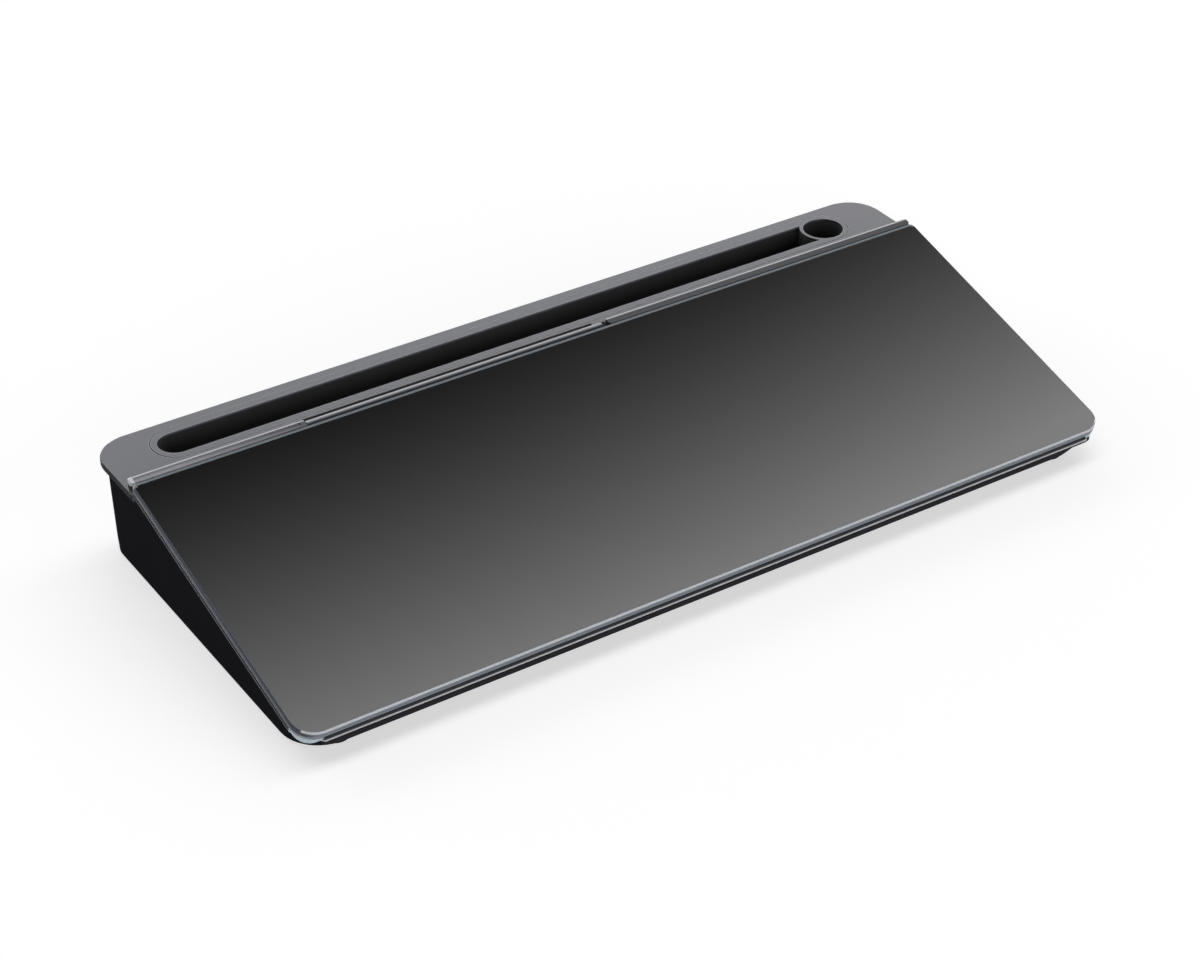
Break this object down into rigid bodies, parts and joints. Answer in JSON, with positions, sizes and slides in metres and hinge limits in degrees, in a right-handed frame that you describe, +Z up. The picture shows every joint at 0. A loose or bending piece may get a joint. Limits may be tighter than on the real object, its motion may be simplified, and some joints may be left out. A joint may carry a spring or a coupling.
{
  "type": "desktop glass whiteboard",
  "caption": "Low sloping glass writing board on a wedge-shaped housing, with a rear deck that holds a pen trough, a round well and a fold-down stop bar.",
  "frame": {"origin": "on the desk, under the middle of the part's footprint", "axes": "+X along the board to the user's right, +Y away from the user, +Z up from the desk"},
  "size_m": [0.451, 0.204, 0.0581],
  "materials": {
    "clear_glass": "clear tempered glass, polished edges",
    "black_steel": "satin black coating",
    "black_plastic": "fine matt texture",
    "grey_plastic": "fine satin texture",
    "clear_silicone": "clear, satin",
    "foot_rubber": "matt",
    "foam_tape": "closed-cell foam with adhesive on both sides",
    "bright_steel": "zinc plated"
  },
  "bodies": {
    "base": {"glass_panel": "clear_glass", "steel_backing": "black_steel", "base_housing": "black_plastic", "bottom_cover": "black_plastic", "tray_trough": "black_plastic", "tray_well": "black_plastic", "top_deck": "grey_plastic", "tray_rim": "grey_plastic", "corner_bumper_left": "clear_silicone", "corner_bumper_right": "clear_silicone", "foot_front_left": "foot_rubber", "foot_front_right": "foot_rubber", "foot_rear_left": "foot_rubber", "foot_rear_right": "foot_rubber", "tape_front": "foam_tape", "tape_rear": "foam_tape", "tape_left": "foam_tape", "tape_right": "foam_tape", "cover_screws": "bright_steel", "deck_screws": "bright_steel"},
    "bar": {"stop_bar": "grey_plastic", "hinge_pin_left": "bright_steel", "hinge_pin_right": "bright_steel"}
  },
  "joints": [
    {"name": "bar_fold", "type": "hinge", "parent": "base", "child": "bar", "pos_m": [0, 0.05774, 0.05108], "axis": [-1, 0, 0], "range_deg": [0, 90]}
  ]
}
